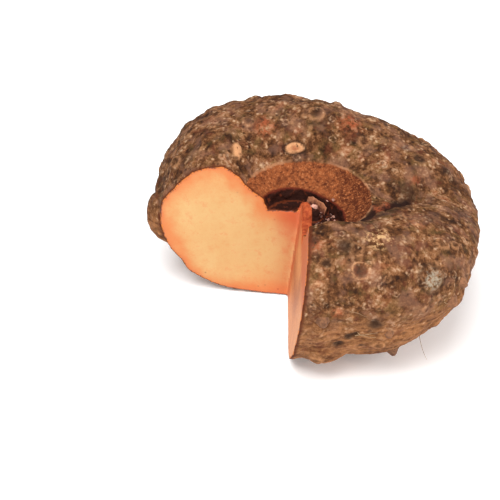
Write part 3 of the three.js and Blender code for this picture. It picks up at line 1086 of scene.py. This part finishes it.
def fleshMaterial():
    look = fleshLooks
    material, shader, place = startMaterial("cutFlesh")
    depth = place.field("depth")
    broad = place.speckle(30, 2, 0.5)
    cloud = place.speckle(9, 3, 0.6)
    fibre = place.speckle(1.6, 3, 0.6)
    # Pale in the middle, more orange towards the skin, with faint clouds.
    inward = depth + (broad - 0.5) * 22 + (cloud - 0.5) * 16
    colour = inward.smooth(4, 30).between(look["middle"], look["centre"])
    pallor = (broad - 0.5) * 1.6 + (cloud - 0.5) * 1.2 + 0.4
    colour = (pallor.held() * inward.smooth(6, 22) * 0.8).between(colour, look["pallor"])
    colour = (cloud.smooth(0.42, 0.24) * 0.4).between(colour, look["middle"])
    colour = inward.smooth(13, 2).between(colour, look["edge"])
    colour = ((depth + (cloud - 0.5) * 4).smooth(4.5, 0) * 0.5).between(colour, look["deep"])
    colour = (cloud.smooth(0.52, 0.7) * 0.35 + (fibre - 0.5) * 0.9).held().between(colour, look["edge"])
    specks = place.cells(8).smooth(0.13, 0.07) * depth.smooth(13, 4) * depth.smooth(1.2, 2.5)
    colour = (specks * 0.7).between(colour, look["speck"])
    # Redder at the corner: partly the flesh's own colour, partly painted shade of the notch's inner corner.
    # The narrow face is painted darker and browner all over, darkest far from the skin: painted shade.
    corner = place.field("corner") + (cloud - 0.5) * 0.5
    colour = (corner.smooth(0.15, 1.0) * 0.9).between(colour, look["corner"])
    # Painted shade of the narrow face, darker far from the skin.
    sliverShading = (fibre - 0.5) * 0.9 + (cloud - 0.5) * 0.9 + depth.smooth(16, 46) * 0.75 + 0.2
    sliver = sliverShading.held().between(look["sliver"], look["sliverDark"])
    sliver = (corner.smooth(0.15, 0.8) * 0.9).between(sliver, look["sliverCorner"])
    colour = place.field("sliver").between(colour, sliver)
    # A toothed dark line just under the skin, but not on torn flesh.
    line = (depth + (cloud - 0.5) * 1.4 + (fibre - 0.5) * 1.8).smooth(1.8, 0.8)
    colour = (line * place.field("torn").smooth(0.5, 0.1)).between(colour, look["skinLine"])
    bump = fibre * 0.5 + place.speckle(0.8, 2, 0.6) * 0.3 + cloud * 0.4
    finishMaterial(shader, colour, 0.5 + 0.2 * fibre, bump, 0.35, 0.0006)
    return material


corm = buildCorm()
corm.data.materials.append(skinMaterial())
corm.data.materials.append(fleshMaterial())
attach(corm, "root")
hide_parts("corm")
print("corm made")

surface = bmesh.new()
surface.from_mesh(corm.data)
cormTree = BVHTree.FromBMesh(surface)
surface.free()


def onSkin(point, lift):  # the nearest point of the finished skin, raised by lift
    place, normal, _, _ = cormTree.find_nearest(Vector(toRow(point)))
    spot = place + normal * lift / 1000
    return np.array(spot) * 1000 + np.array([rowMiddle["x"], rowMiddle["y"], 0])


def simpleMaterial(name, dark, light, size, roughness):  # lighter where the "shade" field is high
    material, shader, place = startMaterial(name)
    tone = place.speckle(size, 3, 0.6).smooth(0.3, 0.7)
    shade = (tone * 0.7 + place.field("shade") * 0.6 - 0.15).held()
    bump = place.speckle(size / 2, 3, 0.6)
    finishMaterial(shader, shade.between(dark, light), roughness, bump, 0.4, 0.0006)
    return material


def joinInto(bundle, piece):
    data = bpy.data.meshes.new("joining")
    piece.to_mesh(data)
    piece.free()
    bundle.from_mesh(data)
    bpy.data.meshes.remove(data)


def tube(bundle, centres, radii, shade, sides):  # a closed tapering tube along the centres
    centres = np.asarray(centres, float)
    steps = len(centres) - 1
    piece = bmesh.new()
    bmesh.ops.create_cone(piece, cap_ends=True, cap_tris=False, segments=sides, radius1=1, radius2=1,
                          depth=1, matrix=Matrix.Translation((0, 0, 0.5)))
    long = [edge for edge in piece.edges if abs(edge.verts[0].co.z - edge.verts[1].co.z) > 0.5]
    bmesh.ops.subdivide_edges(piece, edges=long, cuts=steps - 1)
    ways = np.gradient(centres, axis=0)
    slant = Vector((0.3, 0.2, 0.93))
    layer = piece.verts.layers.float.new("shade")
    for vert in piece.verts:
        index = round(vert.co.z * steps)
        way = Vector(ways[index]).normalized()
        side = way.cross(slant).normalized()
        up = side.cross(way)
        vert[layer] = shade
        vert.co = Vector(centres[index]) + (side * vert.co.x + up * vert.co.y) * radii[index]
    bmesh.ops.recalc_face_normals(piece, faces=piece.faces)
    joinInto(bundle, piece)


def finishPiece(name, mesh, material):
    for vert in mesh.verts:
        vert.co = toRow(vert.co)
    made = makeObject(name, mesh)
    for face in made.data.polygons:
        face.use_smooth = True
    made.data.materials.append(material)
    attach(made, "root")
    print(name, "made with", len(made.data.polygons), "faces")


stubShape = {
    "sunk": 1.5,
    "shortened": 0.6,
    "sway": 0.25,
    "droop": -0.35,
    "rings": 7,
    "sides": 10,
    "waist": 1.2,  # in radii of the stub
    "footFlare": 1.5,
    "tipRounding": 0.4,
    "bumpSize": 1.7,
    "bumpHeight": 0.35,
    "looks": (tint(66, 38, 22), tint(136, 90, 58)),
}


def buildStubs():
    shape = stubShape
    mesh = bmesh.new()
    shares = np.linspace(0, 1, shape["rings"])
    for index, (origin, normal, size, length) in enumerate(stubs):
        foot = onSkin(origin, -shape["sunk"])
        reach = normal * (length * shape["shortened"] + shape["sunk"])
        sway = shape["sway"]
        droop = np.array([sway * math.sin(3.1 * index), sway * math.cos(2.3 * index), shape["droop"]])
        centres = [foot + reach * share + droop * length * share**2 for share in shares]
        radii = []
        for share in shares:
            flare = shape["waist"] + shape["footFlare"] * (1 - share) ** 2
            radii.append(size * flare * (1 - shape["tipRounding"] * share**6))
        tube(mesh, centres, radii, 0.5 + 0.4 * math.sin(index), shape["sides"])
    for vert in mesh.verts:
        vert.co += Vector(noise.noise_vector(vert.co / shape["bumpSize"])) * shape["bumpHeight"]
    finishPiece("rootStubs", mesh, simpleMaterial("rootStubSkin", *shape["looks"], 2, 0.9))


hairSettings = {
    "chosen": [  # azimuth, place, turn, climb, lift, radius
        (-74, 1.76, 9, 0.02, 0.4, 0.4),
        (-73, 1.78, 7, -0.04, 0.6, 0.3),
    ],
    "count": 16,
    "places": (1.45, 2.6),
    "turn": (-8, 8),
    "climb": (-0.08, 0.08),
    "lift": 0.5,
    "radius": (0.13, 0.24),
    "steps": 10,
    "sides": 5,
    "wriggle": 0.8,
    "cutMargin": 18,
    "loose": {"azimuth": -41.5, "place": 1.54, "radius": 0.2, "sunk": 0.5, "bow": 3},
    "looks": (tint(110, 74, 50), tint(196, 160, 116)),
}


def hairRoutes():
    facts = hairSettings
    routes = list(facts["chosen"])
    for _ in range(facts["count"]):
        angle, place = randomSpot(*facts["places"])
        turn, climb = draws.between(*facts["turn"]), draws.between(*facts["climb"])
        radius = draws.between(*facts["radius"])
        routes.append((math.degrees(angle), place, turn, climb, facts["lift"], radius))
    return routes


def buildHairs():
    facts = hairSettings
    mesh = bmesh.new()
    shares = np.linspace(0, 1, facts["steps"])
    for azimuth, place, turn, climb, lift, radius in hairRoutes():
        if nearCut(bodyPoint(math.radians(azimuth), place), facts["cutMargin"]):
            continue
        centres = []
        for share in shares:
            wriggle = facts["wriggle"] * math.sin(5 * share + azimuth)
            point = bodyPoint(math.radians(azimuth + turn * share + wriggle), place + climb * share)
            centres.append(onSkin(point, lift * math.sin(math.pi * share) + 0.3 * radius))
        radii = [radius * (1 - 0.6 * share) for share in shares]
        tube(mesh, centres, radii, 0.3 + 0.6 * draws.next(), facts["sides"])
    loose = facts["loose"]  # hangs free, down to the floor
    angle = math.radians(loose["azimuth"])
    foot = onSkin(bodyPoint(angle, loose["place"]), -loose["sunk"])
    out = skinNormal(angle, loose["place"])
    centres = []
    for share in shares:
        hang = np.array([5 * share**2, -4 * share, -0.55 * foot[2] * share])
        centres.append(foot + out * loose["bow"] * math.sin(2 * share) + hang)
    tube(mesh, centres, [loose["radius"] * (1 - 0.5 * share) for share in shares], 0.1, facts["sides"])
    finishPiece("rootHairs", mesh, simpleMaterial("rootFibre", *facts["looks"], 3, 0.8))


stripSettings = {
    "start": (-2.6, 22),
    "end": (10.6, 7.4),
    "height": 8.8,
    "sunk": 0.8,
    "lean": 2.6,
    "bow": 0.8,
    "thick": 0.6,
    "looks": (tint(82, 34, 20), tint(176, 112, 76)),
}


def buildStrip():  # a torn papery scale standing behind the bud
    facts = stripSettings
    start = Vector((*facts["start"], hollow["floor"]))
    along = Vector((*facts["end"], hollow["floor"])) - start
    away = Vector((-along.y, along.x, 0)).normalized()
    mesh = bmesh.new()
    bmesh.ops.create_grid(mesh, x_segments=26, y_segments=12, size=0.5)
    layer = mesh.verts.layers.float.new("shade")
    for vert in mesh.verts:
        share, rise = vert.co.x + 0.5, vert.co.y + 0.5
        ragged = 1 - 0.2 * (2 * share - 1) ** 4 + 0.12 * noise.noise(Vector((share * 7, 2, 7)))
        lean = facts["lean"] * rise + facts["bow"] * math.sin(math.pi * share)
        lean = lean + 0.5 * noise.noise(Vector((share * 6, rise * 3, 3)))
        lifted = Vector((0, 0, facts["height"] * rise * ragged - facts["sunk"]))
        vert[layer] = 2 * rise - 0.8 + 0.4 * noise.noise(Vector((share * 4, rise * 4, 1)))
        vert.co = start + along * share + away * lean + lifted
    bmesh.ops.solidify(mesh, geom=mesh.faces, thickness=facts["thick"])
    bmesh.ops.recalc_face_normals(mesh, faces=mesh.faces)
    finishPiece("sheathStrip", mesh, simpleMaterial("drySheath", *facts["looks"], 3, 0.7))


flakeSettings = {
    "chosen": [  # x, y, z, size, shade
        (2.2, 7.6, 90, 2.7, 1.3),
        (13.4, 1.8, 84.4, 1.5, 0.5),
        (17, 0.5, 84.4, 1.3, 0.65),
        (19.9, 4.4, 84.4, 1.5, 0.45),
        (17.9, 13.1, 91.5, 1.6, 0.4),
        (13.3, 15.2, 91, 1.1, 0.5),
    ],
    "count": 16,
    "fan": (-1.2, 1.1),  # radians
    "away": (5, 19),
    "size": (0.6, 1.4),
    "shade": 0.15,
    "proportions": (1, 0.65, 0.45),
    "tilt": (-0.7, 0.7),
    "rough": 0.4,
    "looks": (tint(58, 24, 18), tint(206, 150, 130)),
}


def flake(bundle, centre, sizes, turn, shade):
    rough = flakeSettings["rough"]
    piece = bmesh.new()
    bmesh.ops.create_icosphere(piece, subdivisions=3, radius=1)
    layer = piece.verts.layers.float.new("shade")
    for vert in piece.verts:
        broad, fine = noise.noise(vert.co * 1.7 + Vector(centre)), noise.noise(vert.co * 4)
        vert.co *= 1 + rough * broad + 0.5 * rough * fine
        vert.co = Vector((vert.co.x * sizes[0], vert.co.y * sizes[1], vert.co.z * sizes[2]))
        vert[layer] = shade
    bmesh.ops.transform(piece, matrix=Matrix.Translation(centre) @ turn, verts=piece.verts)
    joinInto(bundle, piece)


def buildFlakes():
    facts = flakeSettings
    mesh = bmesh.new()
    spots = list(facts["chosen"])
    for _ in range(facts["count"]):
        angle, away = draws.between(*facts["fan"]), draws.between(*facts["away"])
        x, y = hollow["x"] + 6 + away * math.cos(angle), hollow["y"] + away * math.sin(angle)
        size = draws.between(*facts["size"])
        spots.append((x, y, hollow["floor"] + 1, size, facts["shade"] * draws.next()))
    for x, y, z, size, shade in spots:
        spin = Matrix.Rotation(6 * draws.next(), 4, "Z")
        turn = spin @ Matrix.Rotation(draws.between(*facts["tilt"]), 4, "X")
        sizes = [size * share for share in facts["proportions"]]
        flake(mesh, onSkin((x, y, z), 0.3 * size), sizes, turn, shade)
    finishPiece("crownFlakes", mesh, simpleMaterial("pinkFlake", *facts["looks"], 2, 0.7))


buildStubs()
buildHairs()
buildStrip()
buildFlakes()

stageSettings = {
    "floorSize": 3.0,  # this and the lights' sizes and places are in metres
    "floorShade": 0.94,
    "floorGlow": 0.12,
    "world": 0.58,
    "lights": {
        "keyLight": {"watts": 23.5, "size": 0.9, "place": (-0.26, -0.54, 1.36)},
        "fillLight": {"watts": 7, "size": 0.9, "place": (0.95, -0.45, 0.5)},
    },
    "aim": (0, 0, 0.05),
}
cameraSettings = {
    "downward": 35.89,
    "aside": -44.3,
    "aimHeight": 57.0,
    "distance": 1000,
    "lens": 96,
    "sensor": 36,
}


def buildFloor():
    mesh = bmesh.new()
    bmesh.ops.create_grid(mesh, x_segments=2, y_segments=2, size=stageSettings["floorSize"])
    floor = makeObject("studioFloor", mesh)
    material = bpy.data.materials.new("paleFloor")
    material.use_nodes = True
    shader = material.node_tree.nodes["Principled BSDF"]
    shader.inputs["Base Color"].default_value = (*[stageSettings["floorShade"]] * 3, 1)
    shader.inputs["Roughness"].default_value = 0.9
    shader.inputs["Emission Color"].default_value = (1, 1, 1, 1)
    shader.inputs["Emission Strength"].default_value = stageSettings["floorGlow"]
    floor.data.materials.append(material)


def buildLights():
    world = bpy.data.worlds.new("studioLight")
    world.use_nodes = True
    background = world.node_tree.nodes["Background"]
    background.inputs["Color"].default_value = (1, 1, 1, 1)
    background.inputs["Strength"].default_value = stageSettings["world"]
    bpy.context.scene.world = world
    for name, facts in stageSettings["lights"].items():
        light = bpy.data.lights.new(name, "AREA")
        light.energy = facts["watts"]
        light.size = facts["size"]
        lamp = bpy.data.objects.new(name, light)
        lamp.location = facts["place"]
        aim = Vector(stageSettings["aim"]) - Vector(facts["place"])
        lamp.rotation_euler = aim.to_track_quat("-Z", "Y").to_euler()
        bpy.context.scene.collection.objects.link(lamp)


def buildCamera():
    facts = cameraSettings
    down = math.radians(facts["downward"])
    data = bpy.data.cameras.new("viewCamera")
    data.lens = facts["lens"]
    data.sensor_width = facts["sensor"]
    camera = bpy.data.objects.new("viewCamera", data)
    back, up = facts["distance"] * math.cos(down), facts["distance"] * math.sin(down)
    camera.location = toRow((facts["aside"], -back, facts["aimHeight"] + up))
    camera.rotation_euler = (math.pi / 2 - down, 0, 0)
    bpy.context.scene.collection.objects.link(camera)
    bpy.context.scene.camera = camera
    bpy.context.scene.view_settings.view_transform = "Standard"


buildFloor()
buildLights()
buildCamera()
print("stage and camera made")
